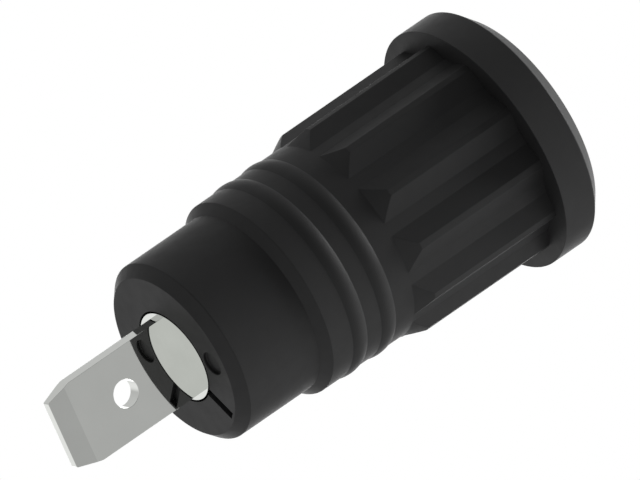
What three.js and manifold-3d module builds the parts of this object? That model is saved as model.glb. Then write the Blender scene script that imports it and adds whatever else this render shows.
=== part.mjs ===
// Press-in 4 mm safety socket for a front panel, with a 4.8 x 0.8 mm flat tab at the back.
//
// Millimetres. The origin is on the socket's axis, in the plane where the flange seats on the panel.
// +Y runs back along the axis to the tab, -Y leaves the front, where the plug enters, and +Z is up,
// along the tab's width. The housing, its touch guard and the turned contact are all round about Y.

import * as THREE from 'three';
import { mergeVertices } from 'three/addons/utils/BufferGeometryUtils.js';
import Module from 'manifold-3d';

const wasm = await Module();
wasm.setup();

const TURNS = 72;                 // facets round the housing
const INNER_TURNS = 48;           // facets round the smaller pieces inside it
const DEG = Math.PI / 180;

// Housing: outside, from the front face to the back one
const FRONT = -2.85;              // front face of the flange
const FRONT_R = 6.36;             // where the flange's front chamfer meets the front face
const RIM_FRONT = -2.03;          // where that chamfer meets the rim
const FLANGE_R = 7.25;
const NECK_R = 5.90;              // between the ribs, and behind them
const BEAD_R = 6.00;              // crest of the two rounded beads
const BEADS = [11.83, 13.83];     // back edges of the beads
const BEAD_LENGTH = 1.01;
const CONE_FRONT = 15.24;         // cone from the neck down to the nose
const CONE_BACK = 15.76;
const NOSE_R = 5.40;
const BACK = 21.21;               // back face, flush with the contact
const BACK_CHAMFER = 0.58;

// Press-in ribs, which the panel's hole squeezes
const RIB_COUNT = 12;
const RIB_R = 6.415;
const RIB_TURN = -0.8;            // degrees from Z towards X, that the ribs stand off the tab's plane
const RIB_LAND = 1.9 * DEG;       // half the angle of a rib's crest
const RIB_FOOT = 11.3 * DEG;      // half the angle at its foot
const RIB_ROOT_R = 5.3;           // the rib's hidden root, inside the housing
const RAMP_FRONT = 8.53;          // the ribs' back ends slope from here ...
const RAMP_BACK = 9.51;           // ... down to the neck here

// Housing: inside
const MOUTH_R = 4.65;             // lead-in for the plug's shroud
const MOUTH_DEPTH = 0.5;
const SHROUD_R = 4.15;            // room for the shroud of a safety plug
const SHROUD_END = 16.4;
const WEB_R = 2.5;                // the web that the contact passes through
const WEB_BACK = 17.4;
const SEAT_R = 2.78;              // bore that grips the contact's barbs

// Moulded features in the back face
const PIN_MARK_R = 0.69;
const PIN_MARK_AT = 3.66;         // from the axis, one on each side of the tab
const PIN_MARK_DEPTH = 0.21;
const SLIT = { from: 2.51, to: 4.65, width: 0.55, depth: 0.34, angle: 225 * DEG };

// Touch guard: the insulating sleeve round the contact
const GUARD_TIP = 0.47;
const GUARD_R = 3.1;
const GUARD_BORE_R = 2.65;
const GUARD_TIP_CHAMFER = 0.25;
const LIP_R = 2.12;               // the lip that covers the contact's end
const LIP_LENGTH = 1.0;
const LIP_LEAD_IN = 0.35;
const COLLAR_R = 4.1;             // pressed into the bottom of the shroud's room
const COLLAR_LENGTH = 1.0;

// Contact: turned, with a 4 mm bore
const TUBE_TIP = 1.67;
const TUBE_R = 2.45;
const PIN_BORE_R = 2.0;
const PIN_BORE_END = 16.6;
const DRILL_POINT = 1.15;
const TUBE_LEAD_IN = 0.25;
const TUBE_TIP_CHAMFER = 0.12;
const GROOVE = { front: 2.9, back: 4.2, radius: 2.3 };
const SHOULDER = 17.45;
const STEM_R = 2.665;
const BARB_R = 2.76;
const BARBS = [18.4, 19.3, 20.2]; // where each barb's back edge drops
const BARB_LENGTH = 0.7;
const SLOT_WIDTH = 0.5;
const SLOT_END = 13.0;
const SLOT_ANGLES = [45 * DEG, 135 * DEG];

// Spring ring in the contact's groove
const RING_R = 2.31;
const RING_THICKNESS = 0.2;
const RING_WIDTH = 1.2;
const RING_SPLIT = 0.8;

// Flat tab
const TAB_WIDTH = 4.8;
const TAB_THICKNESS = 0.8;
const TAB_LENGTH = 8.06;
const TAB_CORNER = { length: 1.53, width: 0.43 };
const TAB_BEVEL = { length: 1.18, depth: 0.16 };
const TAB_HOLE_R = 0.785;
const TAB_HOLE_AT = 3.695;        // from the back face
const TANG_WIDTH = 3.2;
const TANG_LENGTH = 2.5;
const TANG_PLAY = 0.01;           // between the staked tang and its pocket, all round

const black = { color: 0x262627, roughness: 0.62, metalness: 0 };
const guardBlack = { color: 0x1f1f20, roughness: 0.5, metalness: 0 };
const nickel = { color: 0xb9bbb6, roughness: 0.18, metalness: 1 };
const tinned = { color: 0xb1b4ae, roughness: 0.16, metalness: 1 };
const springSteel = { color: 0x8f9194, roughness: 0.3, metalness: 1 };

// ---- shared helpers ------------------------------------------------------------------------------

// A closed three.js geometry as a solid that can be cut and joined.
function solid(geometry) {
  const bare = geometry.clone();
  bare.deleteAttribute('normal');
  bare.deleteAttribute('uv');
  const merged = mergeVertices(bare);
  const index = merged.index.array;
  const kept = [];
  for (let i = 0; i < index.length; i += 3) {
    const [a, b, c] = [index[i], index[i + 1], index[i + 2]];
    if (a !== b && b !== c && c !== a) kept.push(a, b, c);
  }
  return new wasm.Manifold(new wasm.Mesh({
    numProp: 3,
    vertProperties: merged.attributes.position.array,
    triVerts: new Uint32Array(kept),
  }));
}

// A solid back as a three.js mesh with flat facets.
function mesh(name, body, finish) {
  const result = body.getMesh();
  const geometry = new THREE.BufferGeometry();
  geometry.setAttribute('position', new THREE.BufferAttribute(result.vertProperties, 3));
  geometry.setIndex(new THREE.BufferAttribute(result.triVerts, 1));
  geometry.computeVertexNormals();
  const piece = new THREE.Mesh(geometry, new THREE.MeshStandardMaterial({ ...finish, flatShading: true }));
  piece.name = name;
  return piece;
}

// A body turned about Y. The profile is [radius, y] points, with the outer side going up.
function turned(profile, turns) {
  const points = profile.map(([r, y]) => new THREE.Vector2(r, y));
  points.push(points[0].clone());
  return solid(new THREE.LatheGeometry(points, turns));
}

// A prism along Y, from y0 to y1, over an outline of [x, z] points.
function prism(outline, y0, y1) {
  const shape = new THREE.Shape(outline.map(([x, z]) => new THREE.Vector2(x, -z)));
  const geometry = new THREE.ExtrudeGeometry(shape, { depth: y1 - y0, bevelEnabled: false });
  geometry.rotateX(-Math.PI / 2);
  geometry.translate(0, y0, 0);
  return solid(geometry);
}

// The outline of a straight bar across the XZ plane, along an angle from X towards Z.
function bar(from, to, width, angle) {
  const along = [Math.cos(angle), Math.sin(angle)];
  const across = [-along[1] * width / 2, along[0] * width / 2];
  const corner = (r, side) => [r * along[0] + side * across[0], r * along[1] + side * across[1]];
  return [corner(from, -1), corner(to, -1), corner(to, 1), corner(from, 1)];
}

// ---- housing ---------------------------------------------------------------------------------------

// A bead's rounded back, from its front edge to its back edge, as an arc over the chord.
function beadArc(backEdge) {
  const steps = 6;
  const half = BEAD_LENGTH / 2;
  const rise = BEAD_R - NECK_R;
  const radius = (half * half + rise * rise) / (2 * rise);
  const points = [];
  for (let i = 0; i <= steps; i += 1) {
    const y = half * (2 * i / steps - 1);
    points.push([BEAD_R - radius + Math.sqrt(radius * radius - y * y), backEdge - half + y]);
  }
  return points;
}

function housingCore() {
  return turned([
    [MOUTH_R, FRONT], [FRONT_R, FRONT], [FLANGE_R, RIM_FRONT], [FLANGE_R, 0], [NECK_R, 0],
    ...BEADS.flatMap(beadArc),
    [NECK_R, CONE_FRONT], [NOSE_R, CONE_BACK], [NOSE_R, BACK - BACK_CHAMFER], [NOSE_R - BACK_CHAMFER, BACK],
    [SEAT_R, BACK], [SEAT_R, WEB_BACK], [WEB_R, WEB_BACK], [WEB_R, SHROUD_END],
    [SHROUD_R, SHROUD_END], [SHROUD_R, FRONT + MOUTH_DEPTH],
  ], TURNS);
}

function pressRibs() {
  const corner = (radius, angle) => [radius * Math.sin(angle), radius * Math.cos(angle)];
  const outline = [
    corner(RIB_ROOT_R, -RIB_FOOT), corner(NECK_R, -RIB_FOOT), corner(RIB_R, -RIB_LAND), corner(RIB_R, 0),
    corner(RIB_R, RIB_LAND), corner(NECK_R, RIB_FOOT), corner(RIB_ROOT_R, RIB_FOOT),
  ];
  const rib = prism(outline, RIM_FRONT / 2, RAMP_BACK + 1);
  const slope = (RAMP_BACK - RAMP_FRONT) / (RIB_R - NECK_R);
  const coneTip = RAMP_BACK + NECK_R * slope;
  const cone = [[0, FRONT], [FLANGE_R, FRONT], [FLANGE_R, coneTip - FLANGE_R * slope], [0, coneTip]];
  let ribs = rib.rotate([0, RIB_TURN, 0]);
  for (let i = 1; i < RIB_COUNT; i += 1) {
    ribs = ribs.add(rib.rotate([0, RIB_TURN + i * 360 / RIB_COUNT, 0]));
  }
  return ribs.intersect(turned(cone, TURNS));
}

function backFaceMarks() {
  const slit = prism(bar(SLIT.from, SLIT.to, SLIT.width, SLIT.angle), BACK - SLIT.depth, BACK + 1);
  const markShape = new THREE.CylinderGeometry(PIN_MARK_R, PIN_MARK_R, 2 * PIN_MARK_DEPTH, 24);
  return [-1, 1].reduce(
    (marks, side) => marks.add(solid(markShape).translate([side * PIN_MARK_AT, BACK, 0])),
    slit,
  );
}

function housing() {
  return mesh('housing', housingCore().add(pressRibs()).subtract(backFaceMarks()), black);
}

// ---- touch guard -------------------------------------------------------------------------------------

function guardSleeve() {
  const end = SHROUD_END - 0.05 - GUARD_TIP;
  const collarFront = end - COLLAR_LENGTH;
  const body = turned([
    [LIP_R + LIP_LEAD_IN, 0], [GUARD_R - GUARD_TIP_CHAMFER, 0], [GUARD_R, GUARD_TIP_CHAMFER],
    [GUARD_R, collarFront], [COLLAR_R, collarFront], [COLLAR_R, end],
    [GUARD_BORE_R, end], [GUARD_BORE_R, LIP_LENGTH], [LIP_R, LIP_LENGTH], [LIP_R, LIP_LEAD_IN],
  ], INNER_TURNS);
  const piece = mesh('guard_sleeve', body, guardBlack);
  piece.position.y = GUARD_TIP;
  return piece;
}

// ---- contact, spring ring and tab --------------------------------------------------------------------

function contactTube() {
  const barb = (back) => [[STEM_R, back - BARB_LENGTH], [BARB_R, back], [STEM_R, back]];
  const body = turned([
    [0, PIN_BORE_END + DRILL_POINT], [PIN_BORE_R, PIN_BORE_END], [PIN_BORE_R, TUBE_TIP + TUBE_LEAD_IN],
    [PIN_BORE_R + TUBE_LEAD_IN, TUBE_TIP], [TUBE_R - TUBE_TIP_CHAMFER, TUBE_TIP],
    [TUBE_R, TUBE_TIP + TUBE_TIP_CHAMFER], [TUBE_R, GROOVE.front], [GROOVE.radius, GROOVE.front],
    [GROOVE.radius, GROOVE.back], [TUBE_R, GROOVE.back], [TUBE_R, SHOULDER],
    [STEM_R, SHOULDER], ...BARBS.flatMap(barb), [STEM_R, BACK], [0, BACK],
  ], INNER_TURNS);
  const slots = SLOT_ANGLES.map((angle) => prism(
    bar(-STEM_R, STEM_R, SLOT_WIDTH, angle), TUBE_TIP - 1, SLOT_END,
  ));
  const pocketReach = TANG_WIDTH / 2 + TANG_PLAY;
  const tangPocket = prism(
    bar(-pocketReach, pocketReach, TAB_THICKNESS + 2 * TANG_PLAY, 90 * DEG),
    BACK - TANG_LENGTH - TANG_PLAY,
    BACK + 1,
  );
  return mesh('contact_tube', body.subtract(slots[0]).subtract(slots[1]).subtract(tangPocket), nickel);
}

function springRing() {
  const outer = RING_R + RING_THICKNESS;
  const half = RING_WIDTH / 2;
  const ring = turned([[RING_R, -half], [outer, -half], [outer, half], [RING_R, half]], INNER_TURNS);
  const split = prism(bar(0, outer + 1, RING_SPLIT, 90 * DEG), -RING_WIDTH, RING_WIDTH);
  const piece = mesh('spring_ring', ring.subtract(split), springSteel);
  piece.position.y = (GROOVE.front + GROOVE.back) / 2;
  return piece;
}

// The blade's outline is drawn with its width along X and its length along Y, and cut to its side
// profile, which has the bevelled tip. It then stands on its shoulders, on the contact's back face.
function bladeTab() {
  const half = TAB_WIDTH / 2;
  const tip = half - TAB_CORNER.width;
  const outline = new THREE.Shape([
    [-TANG_WIDTH / 2, -TANG_LENGTH], [TANG_WIDTH / 2, -TANG_LENGTH], [TANG_WIDTH / 2, 0], [half, 0],
    [half, TAB_LENGTH - TAB_CORNER.length], [tip, TAB_LENGTH], [-tip, TAB_LENGTH],
    [-half, TAB_LENGTH - TAB_CORNER.length], [-half, 0], [-TANG_WIDTH / 2, 0],
  ].map(([x, y]) => new THREE.Vector2(x, y)));
  outline.holes.push(new THREE.Path().absarc(0, TAB_HOLE_AT, TAB_HOLE_R, 0, 2 * Math.PI, true));
  const sheet = { depth: TAB_THICKNESS, bevelEnabled: false, curveSegments: 16 };
  const blank = new THREE.ExtrudeGeometry(outline, sheet);
  blank.translate(0, 0, -TAB_THICKNESS / 2);
  blank.rotateY(Math.PI / 2);

  const thick = TAB_THICKNESS / 2;
  const thin = thick - TAB_BEVEL.depth;
  const side = new THREE.Shape([
    [-TAB_THICKNESS, -TANG_LENGTH - 1], [TAB_THICKNESS, -TANG_LENGTH - 1], [TAB_THICKNESS, 0],
    [thick, TAB_LENGTH - TAB_BEVEL.length], [thin, TAB_LENGTH], [thin, TAB_LENGTH + 1],
    [-thin, TAB_LENGTH + 1], [-thin, TAB_LENGTH], [-thick, TAB_LENGTH - TAB_BEVEL.length],
    [-TAB_THICKNESS, 0],
  ].map(([x, y]) => new THREE.Vector2(x, y)));
  const profile = new THREE.ExtrudeGeometry(side, { depth: 2 * TAB_WIDTH, bevelEnabled: false });
  profile.translate(0, 0, -TAB_WIDTH);

  const piece = mesh('blade_tab', solid(blank).intersect(solid(profile)), tinned);
  piece.position.y = BACK;
  return piece;
}

// ---- the socket ----------------------------------------------------------------------------------------

const metalwork = new THREE.Group();
metalwork.add(contactTube(), springRing(), bladeTab());

const socket = new THREE.Group();
socket.add(housing(), guardSleeve(), metalwork);

export default socket;
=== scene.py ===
"""Looks of a press-in 4 mm safety socket: black moulded housing, touch guard, plated contact and flat tab.

Lengths are in millimetres until MM turns them into Blender's metres. The socket's axis is Y, its front is -Y,
and the tab stands behind it, along +Y.
"""

import math

import bmesh
import bpy
from mathutils import Matrix, Vector


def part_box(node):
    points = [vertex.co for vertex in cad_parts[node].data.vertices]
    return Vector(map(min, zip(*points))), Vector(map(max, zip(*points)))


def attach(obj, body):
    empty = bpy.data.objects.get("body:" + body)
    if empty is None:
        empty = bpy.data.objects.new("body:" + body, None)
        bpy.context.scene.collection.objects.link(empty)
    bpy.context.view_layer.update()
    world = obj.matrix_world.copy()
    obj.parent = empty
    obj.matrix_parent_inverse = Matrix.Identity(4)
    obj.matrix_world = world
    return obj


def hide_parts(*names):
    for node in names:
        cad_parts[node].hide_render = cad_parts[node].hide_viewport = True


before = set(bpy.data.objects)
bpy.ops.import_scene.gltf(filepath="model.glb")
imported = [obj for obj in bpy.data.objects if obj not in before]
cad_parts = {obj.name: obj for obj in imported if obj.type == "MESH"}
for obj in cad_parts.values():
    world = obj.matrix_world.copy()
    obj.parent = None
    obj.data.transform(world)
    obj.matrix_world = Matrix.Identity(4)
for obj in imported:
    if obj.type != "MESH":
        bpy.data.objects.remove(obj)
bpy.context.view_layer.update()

MM = 0.001


def node_box(name):
    """Lowest and highest corner of a CAD node, in millimetres."""
    low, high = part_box(name)
    return low / MM, high / MM


# Sizes that the frame gives
HOUSING_LOW, HOUSING_HIGH = node_box("housing")
GUARD_LOW, GUARD_HIGH = node_box("guard_sleeve")
TUBE_LOW, TUBE_HIGH = node_box("contact_tube")
RING_LOW, RING_HIGH = node_box("spring_ring")
TAB_LOW, TAB_HIGH = node_box("blade_tab")

# Housing, outside
FRONT = HOUSING_LOW.y
BACK = HOUSING_HIGH.y
FLANGE_R = HOUSING_HIGH.x
RIM_FRONT = FRONT + 0.82        # the flange's front chamfer starts at this Y
FRONT_R = FLANGE_R - 0.89       # and ends at this radius
NECK_R = 5.90
BEAD_R = 6.00
BEADS = (11.83, 13.83)
BEAD_LENGTH = 1.01
CONE_FRONT = 15.24
CONE_BACK = 15.76
NOSE_R = 5.40
BACK_CHAMFER = 0.58

# Press-in ribs
RIBS = 12
RIB_R = 6.415
RIB_LAND = math.radians(1.9)
RIB_FOOT = math.radians(11.3)
RIB_TURN = math.radians(-0.8)
RAMP_FRONT = 8.53
RAMP_BACK = 9.51

# Housing, inside
MOUTH_R = 4.65
MOUTH_DEPTH = 0.5
SHROUD_R = 4.15
SHROUD_END = 16.4
WEB_R = 2.5
WEB_BACK = 17.4
SEAT_R = 2.78

# Moulded features of the back face
PIN_MARK_R = 0.69
PIN_MARK_AT = 3.66
PIN_MARK_DEPTH = 0.21
SLIT_FROM, SLIT_TO = 2.51, 4.65
SLIT_WIDTH = 0.55
SLIT_DEPTH = 0.34
SLIT_ANGLE = math.radians(225)

# Touch guard
GUARD_R = 3.1
GUARD_BORE_R = 2.65
LIP_R = 2.12
LIP_LENGTH = 1.0
LIP_LEAD_IN = 0.35
GUARD_TIP_CHAMFER = 0.25
COLLAR_LENGTH = 1.0

# Contact
TUBE_R = 2.45
PIN_BORE_R = 2.0
PIN_BORE_END = 16.6
DRILL_POINT = 1.15
GROOVE_FRONT, GROOVE_BACK, GROOVE_R = 2.9, 4.2, 2.3
SHOULDER = 17.45
STEM_R = 2.665
BARBS = (18.4, 19.3, 20.2)
BARB_LENGTH = 0.7
BORE_LEAD_IN = 0.25
TIP_CHAMFER = 0.12
SLOT_WIDTH = 0.5
SLOT_END = 13.0
CORE_R = 0.02                   # the contact's turned outline stops this close to the axis

# Spring ring
RING_THICKNESS = 0.2
RING_OPENING = 0.8

# Tab
TANG_WIDTH = 3.2
TAB_CORNER_LENGTH, TAB_CORNER_WIDTH = 1.53, 0.43
TAB_BEVEL_LENGTH, TAB_BEVEL_DEPTH = 1.18, 0.16
FOOT_SUNK = 0.04                # the tab's foot is bedded this far into the contact, so no gap shows
TAB_HOLE_R = 0.785
TAB_HOLE_AT = 3.695
TAB_HOLE_FLARE = 0.015
TAB_EDGE = 0.012

# Making of the meshes
TURNS = 160                     # facets round a turned piece
CLEAR = 1.0                     # cutters reach about this far past the surface they cut
SHARP = math.radians(28)        # edges bent more than this keep a crease in the shading,
SHARP_TAB = math.radians(4.5)   # and on the tab this much, for its shallow bevel

# Camera, floor and light
TOWARDS_CAMERA = (-0.8361, 0.4202, 0.3526)
CAMERA_RIGHT = (-0.5393, -0.7472, -0.3884)
CAMERA_SHIFT = (7.679, 6.158)   # from the back face's centre to the picture's, to the right and up
CAMERA_DISTANCE = 200.0
PICTURE_WIDTH = 33.742
FLOOR_DROP = 160.0              # how far below the socket the floor lies
FLOOR_REACH = 20000.0
AMBIENT = 0.145                 # even light from all round

# Soft round lamps: direction they shine from, half-angle in degrees, level at the middle
LAMPS = (
    ((-0.195, -0.980, 0.038), 18, 14.4),    # key, in front of the socket
    ((-0.300, -0.812, -0.500), 47, 1.15),   # fill under the key
    ((-0.438, 0.759, -0.482), 95, 0.575),   # wide fill from behind on the left
    ((0.836, -0.420, -0.353), 36, 2.40),    # card on the right, which lights the outlines
    ((0.836, 0.420, -0.353), 30, 0.33),     # small card beside it, which the contact mirrors
    ((0.939, -0.264, 0.221), 120, 0.447),   # wide fill from the right
)

# Materials
PLASTIC_IOR = 1.45
NICKEL_DARK = (0.80, 0.815, 0.785)
NICKEL_LIGHT = (0.83, 0.845, 0.815)
NOISE_FROM, NOISE_TO = 0.3, 0.7     # the part of a noise's range that is used


# ---- camera, floor and light ----


def make_camera():
    """A parallel view from behind and to the left, rolled so that the socket's front points up and right."""
    towards = Vector(TOWARDS_CAMERA).normalized()
    right = Vector(CAMERA_RIGHT)
    right = (right - right.dot(towards) * towards).normalized()
    up = towards.cross(right)
    target = Vector((0, BACK, 0)) + CAMERA_SHIFT[0] * right + CAMERA_SHIFT[1] * up
    data = bpy.data.cameras.new("camera")
    data.type = "ORTHO"
    data.ortho_scale = PICTURE_WIDTH * MM
    data.clip_start = 1 * MM
    data.clip_end = 5000 * MM
    camera = bpy.data.objects.new("camera", data)
    bpy.context.scene.collection.objects.link(camera)
    turn = Matrix((right, up, towards)).transposed()
    camera.matrix_world = Matrix.Translation((target + CAMERA_DISTANCE * towards) * MM) @ turn.to_4x4()
    bpy.context.scene.camera = camera


def make_floor():
    """A plain white floor well below the socket. It glows, so that it stays even, and the socket neither
    mirrors it nor is lit by it."""
    mesh = bpy.data.meshes.new("floor")
    half = FLOOR_REACH * MM
    height = (HOUSING_LOW.z - FLOOR_DROP) * MM
    corners = [(-half, -half, height), (half, -half, height), (half, half, height), (-half, half, height)]
    mesh.from_pydata(corners, [], [(0, 1, 2, 3)])
    floor = bpy.data.objects.new("floor", mesh)
    bpy.context.scene.collection.objects.link(floor)
    material = bpy.data.materials.new("floor_white")
    material.use_nodes = True
    nodes, links = material.node_tree.nodes, material.node_tree.links
    nodes.clear()
    glow = nodes.new("ShaderNodeEmission")
    glow.inputs["Color"].default_value = (1, 1, 1, 1)
    output = nodes.new("ShaderNodeOutputMaterial")
    links.new(glow.outputs[0], output.inputs["Surface"])
    mesh.materials.append(material)
    floor.visible_diffuse = False
    floor.visible_glossy = False
    floor.visible_shadow = False


def lamp_glow(nodes, links, where, towards, half_angle, level):
    """A round soft lamp far away: full at its middle, fading smoothly to nothing at its rim."""
    aim = nodes.new("ShaderNodeVectorMath")
    aim.operation = "DOT_PRODUCT"
    aim.inputs[1].default_value = Vector(towards).normalized()
    links.new(where, aim.inputs[0])
    fade = nodes.new("ShaderNodeMapRange")
    fade.interpolation_type = "SMOOTHSTEP"
    fade.inputs["From Min"].default_value = math.cos(math.radians(half_angle))
    fade.inputs["From Max"].default_value = 1.0
    fade.inputs["To Min"].default_value = 0.0
    fade.inputs["To Max"].default_value = level
    links.new(aim.outputs["Value"], fade.inputs["Value"])
    return fade.outputs[0]


def make_studio():
    """An even white backdrop, and round soft lamps that only the socket sees."""
    scene = bpy.context.scene
    scene.view_settings.view_transform = "Standard"
    world = bpy.data.worlds.new("studio")
    scene.world = world
    world.use_nodes = True
    nodes, links = world.node_tree.nodes, world.node_tree.links
    nodes.clear()
    where = nodes.new("ShaderNodeTexCoord").outputs["Generated"]
    total = None
    for towards, half_angle, level in LAMPS:
        glow = lamp_glow(nodes, links, where, towards, half_angle, level)
        add = nodes.new("ShaderNodeMath")
        add.operation = "ADD"
        add.inputs[0].default_value = AMBIENT
        if total:
            links.new(total, add.inputs[0])
        links.new(glow, add.inputs[1])
        total = add.outputs[0]
    room = nodes.new("ShaderNodeBackground")
    links.new(total, room.inputs["Color"])
    backdrop = nodes.new("ShaderNodeBackground")
    backdrop.inputs["Color"].default_value = (1, 1, 1, 1)
    path = nodes.new("ShaderNodeLightPath")
    mix = nodes.new("ShaderNodeMixShader")
    links.new(path.outputs["Is Camera Ray"], mix.inputs[0])
    links.new(room.outputs[0], mix.inputs[1])
    links.new(backdrop.outputs[0], mix.inputs[2])
    output = nodes.new("ShaderNodeOutputWorld")
    links.new(mix.outputs[0], output.inputs["Surface"])


# ---- materials ----


class Finish:
    """A principled material, with short calls for the noise that its colour, gloss and surface take."""

    def __init__(self, name, metallic=0.0):
        self.material = bpy.data.materials.new(name)
        self.material.use_nodes = True
        self.nodes = self.material.node_tree.nodes
        self.links = self.material.node_tree.links
        self.shader = self.nodes["Principled BSDF"]
        self.shader.inputs["Metallic"].default_value = metallic
        where = self.nodes.new("ShaderNodeTexCoord")
        self.place = self.nodes.new("ShaderNodeVectorMath")
        self.place.operation = "SCALE"
        self.place.inputs["Scale"].default_value = 1 / MM
        self.links.new(where.outputs["Object"], self.place.inputs[0])
        self.bump_input = None

    def noise(self, size, detail=3.0, stretch=(1, 1, 1)):
        """Noise with features of about size millimetres, drawn out by stretch along X, Y and Z."""
        squeeze = self.nodes.new("ShaderNodeVectorMath")
        squeeze.operation = "MULTIPLY"
        squeeze.inputs[1].default_value = [1 / s for s in stretch]
        self.links.new(self.place.outputs[0], squeeze.inputs[0])
        noise = self.nodes.new("ShaderNodeTexNoise")
        noise.inputs["Scale"].default_value = 1 / size
        noise.inputs["Detail"].default_value = detail
        self.links.new(squeeze.outputs[0], noise.inputs["Vector"])
        return noise.outputs[0]

    def between(self, value, low, high):
        """A number that swings from low to high with a noise's value."""
        level = self.nodes.new("ShaderNodeMapRange")
        level.inputs["From Min"].default_value = NOISE_FROM
        level.inputs["From Max"].default_value = NOISE_TO
        level.inputs["To Min"].default_value = low
        level.inputs["To Max"].default_value = high
        self.links.new(value, level.inputs["Value"])
        return level.outputs[0]

    def colour(self, value, dark, light):
        """The base colour, between dark and light."""
        mix = self.nodes.new("ShaderNodeMix")
        mix.data_type = "RGBA"
        mix.inputs["A"].default_value = (*dark, 1)
        mix.inputs["B"].default_value = (*light, 1)
        self.links.new(self.between(value, 0, 1), mix.inputs["Factor"])
        self.links.new(mix.outputs["Result"], self.shader.inputs["Base Color"])

    def roughness(self, value, low, high):
        """The roughness, between low and high."""
        self.links.new(self.between(value, low, high), self.shader.inputs["Roughness"])

    def relief(self, value, height, strength):
        """Bump of that height in millimetres. Later calls add to earlier ones."""
        bump = self.nodes.new("ShaderNodeBump")
        bump.inputs["Strength"].default_value = strength
        bump.inputs["Distance"].default_value = height * MM
        self.links.new(value, bump.inputs["Height"])
        if self.bump_input:
            self.links.new(self.bump_input, bump.inputs["Normal"])
        self.bump_input = bump.outputs[0]
        self.links.new(self.bump_input, self.shader.inputs["Normal"])

    def rings(self, spacing):
        """Fine turning lines: noise over the distance from the axis and along it."""
        split = self.nodes.new("ShaderNodeSeparateXYZ")
        self.links.new(self.place.outputs[0], split.inputs[0])
        across = self.nodes.new("ShaderNodeCombineXYZ")
        self.links.new(split.outputs["X"], across.inputs["X"])
        self.links.new(split.outputs["Z"], across.inputs["Y"])
        radius = self.nodes.new("ShaderNodeVectorMath")
        radius.operation = "LENGTH"
        self.links.new(across.outputs[0], radius.inputs[0])
        lines = self.nodes.new("ShaderNodeCombineXYZ")
        self.links.new(radius.outputs["Value"], lines.inputs["X"])
        self.links.new(split.outputs["Y"], lines.inputs["Y"])
        noise = self.nodes.new("ShaderNodeTexNoise")
        noise.inputs["Scale"].default_value = 1 / spacing
        noise.inputs["Detail"].default_value = 2.0
        self.links.new(lines.outputs[0], noise.inputs["Vector"])
        return noise.outputs[0]


def housing_plastic():
    """Black polyamide out of a spark-eroded mould: fine grain, and faint clouds of glass-fibre haze."""
    finish = Finish("housing_plastic")
    finish.shader.inputs["IOR"].default_value = PLASTIC_IOR
    finish.colour(finish.noise(2.4, 4.0), (0.0080, 0.0080, 0.0083), (0.0095, 0.0095, 0.0098))
    finish.roughness(finish.noise(0.7, 4.0), 0.56, 0.61)
    finish.relief(finish.noise(0.12, 2.0), 0.0025, 0.6)
    finish.relief(finish.noise(1.1, 3.0), 0.004, 0.4)
    return finish.material


def guard_plastic():
    """The same polyamide from a polished mould."""
    finish = Finish("guard_plastic")
    finish.shader.inputs["IOR"].default_value = PLASTIC_IOR
    finish.colour(finish.noise(1.5), (0.008, 0.008, 0.0085), (0.0095, 0.0095, 0.01))
    finish.roughness(finish.noise(0.5), 0.42, 0.5)
    finish.relief(finish.noise(0.2), 0.002, 0.5)
    return finish.material


def nickel_plate():
    """Bright nickel over turned brass, with the tool's fine rings still in it."""
    finish = Finish("nickel_plate", metallic=1.0)
    finish.colour(finish.noise(1.2), NICKEL_DARK, NICKEL_LIGHT)
    finish.roughness(finish.noise(0.6), 0.015, 0.04)
    finish.relief(finish.rings(0.05), 0.00005, 0.5)
    return finish.material


def tab_plate():
    """Nickel over rolled brass strip, with the strip's grain along the tab."""
    finish = Finish("tab_plate", metallic=1.0)
    finish.colour(finish.noise(1.8), NICKEL_DARK, NICKEL_LIGHT)
    finish.roughness(finish.noise(0.5, stretch=(1, 6, 1)), 0.02, 0.045)
    finish.relief(finish.noise(0.05, 2.0, stretch=(1, 14, 1)), 0.00005, 0.5)
    return finish.material


def spring_steel():
    """Bare spring steel, drawn round the ring."""
    finish = Finish("spring_steel", metallic=1.0)
    finish.colour(finish.noise(0.8), (0.33, 0.34, 0.35), (0.42, 0.43, 0.44))
    finish.roughness(finish.noise(0.3), 0.22, 0.34)
    finish.relief(finish.rings(0.04), 0.0006, 0.6)
    return finish.material


# ---- mesh helpers ----


def eased(corners, setback=0.07, steps=4):
    """A closed outline with every corner eased by a short curve. A corner is (a, b) or (a, b, setback), and
    a setback of 0 keeps it sharp. A curve takes up less than half of the edges beside it."""
    longest_share = 0.45
    points = []
    count = len(corners)
    for i, corner in enumerate(corners):
        here = Vector(corner[:2])
        reach = corner[2] if len(corner) > 2 else setback
        if reach == 0:
            points.append(here)
            continue
        ends = []
        for other in (corners[i - 1], corners[(i + 1) % count]):
            gap = Vector(other[:2]) - here
            ends.append(here + gap * min(reach / max(gap.length, 1e-9), longest_share))
        for k in range(steps + 1):
            t = k / steps
            points.append((1 - t) ** 2 * ends[0] + 2 * t * (1 - t) * here + t * t * ends[1])
    return points


def link_mesh(name, verts, faces):
    """A mesh object from points in millimetres."""
    mesh = bpy.data.meshes.new(name)
    mesh.from_pydata([Vector(v) * MM for v in verts], [], faces)
    mesh.update()
    piece = bpy.data.objects.new(name, mesh)
    bpy.context.scene.collection.objects.link(piece)
    return piece


def revolved(name, profile_at, angles):
    """A closed ring-shaped body: profile_at(angle) gives its [radius, y] outline there, with the same number
    of points at every angle. The outline runs back along its outer side. Angles are from Z towards X."""
    verts, faces = [], []
    for angle in angles:
        for radius, y in profile_at(angle):
            verts.append((radius * math.sin(angle), y, radius * math.cos(angle)))
    rows = len(verts) // len(angles)
    for j in range(len(angles)):
        here, there = j * rows, (j + 1) % len(angles) * rows
        for i in range(rows):
            k = (i + 1) % rows
            faces.append((here + i, there + i, there + k, here + k))
    return link_mesh(name, verts, faces)


def even_angles(count):
    """That many angles round a full turn."""
    return [2 * math.pi * i / count for i in range(count)]


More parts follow.
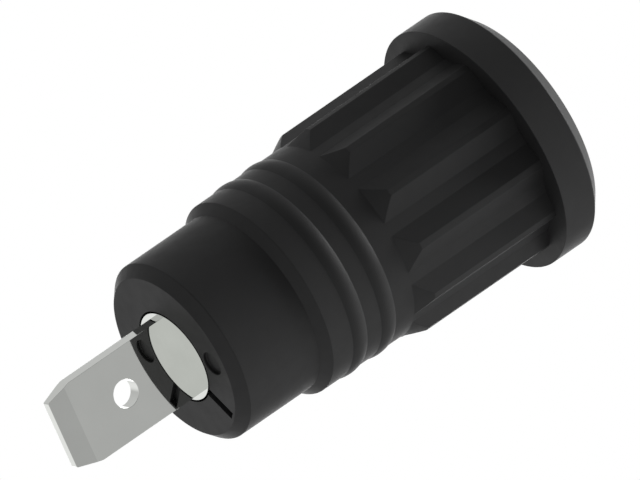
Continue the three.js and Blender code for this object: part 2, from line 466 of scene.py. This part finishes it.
def prism(name, end, other_end):
    """A closed prism between two outlines that have the same number of points."""
    n = len(end)
    faces = [tuple(range(n)), tuple(reversed(range(n, 2 * n)))]
    faces += [(i, n + i, n + (i + 1) % n, (i + 1) % n) for i in range(n)]
    return outward(link_mesh(name, end + other_end, faces))


def block(outline, y0, y1):
    """A cutter: a prism along Y over an [x, z] outline."""
    return prism("cutter", *([(x, y, z) for x, z in outline] for y in (y0, y1)))


def bar(reach_from, reach_to, width, angle):
    """Outline of a straight bar across the XZ plane, along an angle from X towards Z."""
    along = Vector((math.cos(angle), math.sin(angle)))
    across = Vector((-along.y, along.x)) * width / 2
    ends = (along * reach_from, along * reach_to)
    return [ends[0] - across, ends[1] - across, ends[1] + across, ends[0] + across]


def spun(profile, facets):
    """A cutter turned about Y from a [radius, y] outline that starts and ends on the axis."""
    verts = [(0, profile[0][1], 0), (0, profile[-1][1], 0)]
    faces = []
    rim = profile[1:-1]
    for angle in even_angles(facets):
        for radius, y in rim:
            verts.append((radius * math.sin(angle), y, radius * math.cos(angle)))
    rows = len(rim)
    for j in range(facets):
        here, there = 2 + j * rows, 2 + (j + 1) % facets * rows
        faces.append((0, there, here))
        faces.append((1, here + rows - 1, there + rows - 1))
        for i in range(rows - 1):
            faces.append((here + i, there + i, there + i + 1, here + i + 1))
    return outward(link_mesh("spun", verts, faces))


def outward(piece):
    """The same closed piece, with its faces turned out."""
    form = bmesh.new()
    form.from_mesh(piece.data)
    bmesh.ops.recalc_face_normals(form, faces=form.faces)
    form.to_mesh(piece.data)
    form.free()
    return piece


def baked(piece):
    """Applies the piece's modifiers to its mesh."""
    graph = bpy.context.evaluated_depsgraph_get()
    mesh = bpy.data.meshes.new_from_object(piece.evaluated_get(graph))
    piece.modifiers.clear()
    piece.data = mesh


def cut(piece, cutters):
    """Takes each cutter out of the piece."""
    for cutter in cutters:
        boolean = piece.modifiers.new("cut", "BOOLEAN")
        boolean.operation = "DIFFERENCE"
        boolean.solver = "EXACT"
        boolean.object = cutter
        baked(piece)
        bpy.data.objects.remove(cutter)


def smooth(piece, sharp):
    """Smooth shading that keeps flat faces flat, with a crease where faces bend more than sharp. The faces
    are weighed in square millimetres, since the modifier can't tell much smaller areas apart."""
    mesh = piece.data
    mesh.transform(Matrix.Scale(1 / MM, 4))
    mesh.shade_smooth()
    mesh.set_sharp_from_angle(angle=sharp)
    weighted = piece.modifiers.new("flat_faces_stay_flat", "WEIGHTED_NORMAL")
    weighted.keep_sharp = True
    weighted.weight = 80
    baked(piece)
    piece.data.transform(Matrix.Scale(MM, 4))


def true_round(piece, stretches):
    """Takes the part that points round the axis out of the shading normals within stretches of Y, where the
    piece is round."""
    mesh = piece.data
    normals = [corner.vector.copy() for corner in mesh.corner_normals]
    for face in mesh.polygons:
        heights = [mesh.vertices[i].co.y / MM for i in face.vertices]
        if not any(low <= min(heights) and max(heights) <= high for low, high in stretches):
            continue
        for loop in face.loop_indices:
            place = mesh.vertices[mesh.loops[loop].vertex_index].co
            around = Vector((place.z, 0, -place.x)).normalized()
            normals[loop] = (normals[loop] - normals[loop].dot(around) * around).normalized()
    mesh.normals_split_custom_set(normals)


def finished(piece, node, material, sharp=SHARP):
    """Shading, material and bookkeeping of a piece that stands for a CAD node."""
    smooth(piece, sharp)
    piece.data.materials.clear()
    piece.data.materials.append(material)
    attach(piece, "root")
    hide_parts(node)


# ---- housing ----


def rib_radius(angle):
    """Outer radius among the ribs: crest, straight flank or groove."""
    pitch = 2 * math.pi / RIBS
    off = abs((angle - RIB_TURN + pitch / 2) % pitch - pitch / 2)
    if off <= RIB_LAND:
        return RIB_R
    if off >= RIB_FOOT:
        return NECK_R
    crest = Vector((RIB_R * math.cos(RIB_LAND), RIB_R * math.sin(RIB_LAND)))
    foot = Vector((NECK_R * math.cos(RIB_FOOT), NECK_R * math.sin(RIB_FOOT)))
    normal = Vector((foot.y - crest.y, crest.x - foot.x))
    return normal.dot(crest) / normal.dot(Vector((math.cos(off), math.sin(off))))


def rib_angles():
    """Angles that follow the ribs' edges closely and their flanks and grooves more widely."""
    land, foot = math.degrees(RIB_LAND), math.degrees(RIB_FOOT)
    pitch = 360 / RIBS
    ease = 0.4
    steps = 7
    groove = 13.2
    half = [0, land / 2, land - ease, land - ease / 3, land + ease / 3, land + ease]
    half += [land + ease + (foot - land - 2 * ease) * k / steps for k in range(1, steps + 1)]
    half += [foot - ease / 3, foot + ease / 3, foot + ease, groove, pitch / 2]
    sector = half + [pitch - a for a in reversed(half[1:-1])]
    return [RIB_TURN + math.radians(pitch * i + a) for i in range(RIBS) for a in sector]


def bead_arc(back_edge, steps=10):
    """A bead's outline, from its front edge to its back one."""
    half = BEAD_LENGTH / 2
    rise = BEAD_R - NECK_R
    radius = (half * half + rise * rise) / (2 * rise)
    offsets = [half * (2 * i / steps - 1) for i in range(steps + 1)]
    return [(BEAD_R - radius + math.sqrt(radius**2 - y * y), back_edge - half + y) for y in offsets]


def housing_profile(angle):
    """The housing's outline at an angle, with the same number of points everywhere, also in the grooves."""
    rib = rib_radius(angle)
    slope = (RAMP_BACK - RAMP_FRONT) / (RIB_R - NECK_R)
    shortest_ramp = 0.03
    crest_end = RAMP_BACK - slope * (rib - NECK_R) - shortest_ramp
    beads = [point for back_edge in BEADS for point in bead_arc(back_edge)]
    front = [(MOUTH_R, FRONT, 0.1), (FRONT_R, FRONT, 0.08), (FLANGE_R, RIM_FRONT, 0.06), (FLANGE_R, 0, 0.04)]
    ribs = [(rib, 0, 0), (rib, crest_end, 0.04), (NECK_R, RAMP_BACK, 0.04)]
    back = [
        (NECK_R, CONE_FRONT, 0.04),
        (NOSE_R, CONE_BACK, 0),
        (NOSE_R, BACK - BACK_CHAMFER, 0.045),
        (NOSE_R - BACK_CHAMFER, BACK, 0.03),
        (SEAT_R, BACK, 0.015),
        (SEAT_R, WEB_BACK),
        (WEB_R, WEB_BACK),
        (WEB_R, SHROUD_END),
        (SHROUD_R, SHROUD_END),
        (SHROUD_R, FRONT + MOUTH_DEPTH, 0.1),
    ]
    return eased(front + ribs + [(*p, 0.015) for p in beads] + back, steps=3)


def back_face_cutters():
    """A radial slit on the lower left, and a round ejector-pin mark on each side of the tab."""
    slit = bar(SLIT_FROM, SLIT_TO, SLIT_WIDTH, SLIT_ANGLE)
    cutters = [block(slit, BACK - SLIT_DEPTH, BACK + CLEAR)]
    rim = 0.03
    bottom = BACK - PIN_MARK_DEPTH
    profile = [
        (0, bottom),
        (PIN_MARK_R - rim, bottom),
        (PIN_MARK_R, bottom + rim),
        (PIN_MARK_R, BACK - rim),
        (PIN_MARK_R + CLEAR, BACK + CLEAR),
        (0, BACK + CLEAR),
    ]
    for side in (-1, 1):
        cutter = spun(profile, 64)
        cutter.data.transform(Matrix.Translation((side * PIN_MARK_AT * MM, 0, 0)))
        cutters.append(cutter)
    return cutters


def make_housing():
    """The ribbed, flanged body with its beads, nose and inner room."""
    margin = 0.1
    piece = revolved("housing_shell", housing_profile, rib_angles())
    cut(piece, back_face_cutters())
    finished(piece, "housing", housing_plastic())
    true_round(piece, ((FRONT, 0), (RAMP_BACK - margin, BACK - margin)))


# ---- touch guard ----


def make_guard():
    """The insulating sleeve, with a lip over the contact's front end and a collar at its foot."""
    tip, end = GUARD_LOW.y, GUARD_HIGH.y
    collar = end - COLLAR_LENGTH
    outline = eased(
        [
            (LIP_R + LIP_LEAD_IN, tip, 0.1),
            (GUARD_R - GUARD_TIP_CHAMFER, tip, 0.1),
            (GUARD_R, tip + GUARD_TIP_CHAMFER, 0.1),
            (GUARD_R, collar),
            (GUARD_HIGH.x, collar),
            (GUARD_HIGH.x, end),
            (GUARD_BORE_R, end),
            (GUARD_BORE_R, tip + LIP_LENGTH),
            (LIP_R, tip + LIP_LENGTH),
            (LIP_R, tip + LIP_LEAD_IN, 0.1),
        ]
    )
    piece = revolved("touch_guard", lambda angle: outline, even_angles(TURNS))
    finished(piece, "guard_sleeve", guard_plastic())


# ---- contact, spring ring and tab ----


def make_contact():
    """The turned contact: slotted tube, groove for the spring ring, shoulder, barbed stem and tab pocket."""
    tip = TUBE_LOW.y
    barbs = []
    for back in BARBS:
        barbs += [(STEM_R, back - BARB_LENGTH), (TUBE_HIGH.x, back, 0.03), (STEM_R, back, 0.03)]
    outline = eased(
        [
            (CORE_R, PIN_BORE_END + DRILL_POINT, 0.005),
            (PIN_BORE_R, PIN_BORE_END),
            (PIN_BORE_R, tip + BORE_LEAD_IN),
            (PIN_BORE_R + BORE_LEAD_IN, tip, 0.04),
            (TUBE_R - TIP_CHAMFER, tip, 0.04),
            (TUBE_R, tip + TIP_CHAMFER, 0.04),
            (TUBE_R, GROOVE_FRONT, 0.03),
            (GROOVE_R, GROOVE_FRONT, 0.03),
            (GROOVE_R, GROOVE_BACK, 0.03),
            (TUBE_R, GROOVE_BACK, 0.03),
            (TUBE_R, SHOULDER, 0.06),
            (STEM_R, SHOULDER, 0.06),
            *barbs,
            (STEM_R, BACK, 0.015),
            (CORE_R, BACK, 0.005),
        ],
        steps=3,
    )
    piece = revolved("turned_contact", lambda angle: outline, even_angles(TURNS))
    pocket = bar(-TANG_WIDTH / 2, TANG_WIDTH / 2, TAB_HIGH.x - TAB_LOW.x, math.pi / 2)
    cutters = [block(pocket, TAB_LOW.y, BACK + CLEAR)]
    for angle in (math.radians(45), math.radians(135)):
        cutters.append(block(bar(-STEM_R, STEM_R, SLOT_WIDTH, angle), tip - CLEAR, SLOT_END))
    cut(piece, cutters)
    finished(piece, "contact_tube", nickel_plate())


def make_spring_ring():
    """A split flat ring with eased edges, open at the top."""
    outer = RING_HIGH.x
    inner = outer - RING_THICKNESS
    opening = math.asin(RING_OPENING / 2 / outer)
    facets = 96
    section = eased(
        [(inner, RING_LOW.y), (outer, RING_LOW.y), (outer, RING_HIGH.y), (inner, RING_HIGH.y)], 0.06
    )
    angles = [opening + (2 * math.pi - 2 * opening) * i / facets for i in range(facets + 1)]
    verts = [(r * math.sin(a), y, r * math.cos(a)) for a in angles for r, y in section]
    rows = len(section)
    faces = [tuple(reversed(range(rows))), tuple(range(facets * rows, (facets + 1) * rows))]
    for j in range(facets):
        for i in range(rows):
            k = (i + 1) % rows
            faces.append((j * rows + i, (j + 1) * rows + i, (j + 1) * rows + k, j * rows + k))
    piece = outward(link_mesh("split_spring_ring", verts, faces))
    finished(piece, "spring_ring", spring_steel())


def tab_outline():
    """The tab's [z, y] outline with its tang: back along the upper side, round the tip and forward again."""
    half = TAB_HIGH.z
    tip = half - TAB_CORNER_WIDTH
    end, taper, tang = TAB_HIGH.y, TAB_HIGH.y - TAB_CORNER_LENGTH, TANG_WIDTH / 2
    foot = [(tang, TAB_LOW.y, 0.1), (tang, BACK - FOOT_SUNK, 0), (half, BACK - FOOT_SUNK, 0)]
    upper = foot + [(half, taper, 0.11), (tip, end, 0.08)]
    return eased(upper + [(-z, y, s) for z, y, s in reversed(upper)])


def tab_drill():
    """Cutter for the tab's hole, which flares a little at both faces."""
    face = TAB_HIGH.x - TAB_HOLE_FLARE
    wide = TAB_HOLE_R + CLEAR - face
    half = [(TAB_HOLE_R, face), (wide, CLEAR), (0, CLEAR)]
    drill = spun([(radius, -y) for radius, y in reversed(half)] + half, 96)
    turn = Matrix.Rotation(math.pi / 2, 4, "Z")
    drill.data.transform(Matrix.Translation((0, (BACK + TAB_HOLE_AT) * MM, 0)) @ turn)
    return drill


def thin_tip(piece):
    """Bevels both faces of the tab towards its tip."""
    form = bmesh.new()
    form.from_mesh(piece.data)
    start = (TAB_HIGH.y - TAB_BEVEL_LENGTH) * MM
    everything = form.verts[:] + form.edges[:] + form.faces[:]
    bmesh.ops.bisect_plane(form, geom=everything, plane_co=(0, start, 0), plane_no=(0, 1, 0))
    for vert in form.verts:
        past = (vert.co.y - start) / (TAB_BEVEL_LENGTH * MM)
        if past > 0:
            vert.co.x *= 1 - past * TAB_BEVEL_DEPTH / TAB_HIGH.x
    form.to_mesh(piece.data)
    form.free()


def make_tab():
    """The flat tab with its tang, hole and bevelled tip."""
    thick = TAB_HIGH.x
    outline = tab_outline()
    piece = prism("flat_tab", *([(x, y, z) for z, y in outline] for x in (-thick, thick)))
    cut(piece, [tab_drill()])
    thin_tip(piece)

    edge = piece.modifiers.new("eased_edges", "BEVEL")
    edge.width = TAB_EDGE * MM
    edge.segments = 3
    edge.limit_method = "ANGLE"
    edge.angle_limit = math.radians(50)
    baked(piece)
    finished(piece, "blade_tab", tab_plate(), SHARP_TAB)


# ---- the scene ----

make_camera()
make_floor()
make_studio()
make_housing()
make_guard()
make_contact()
make_spring_ring()
make_tab()
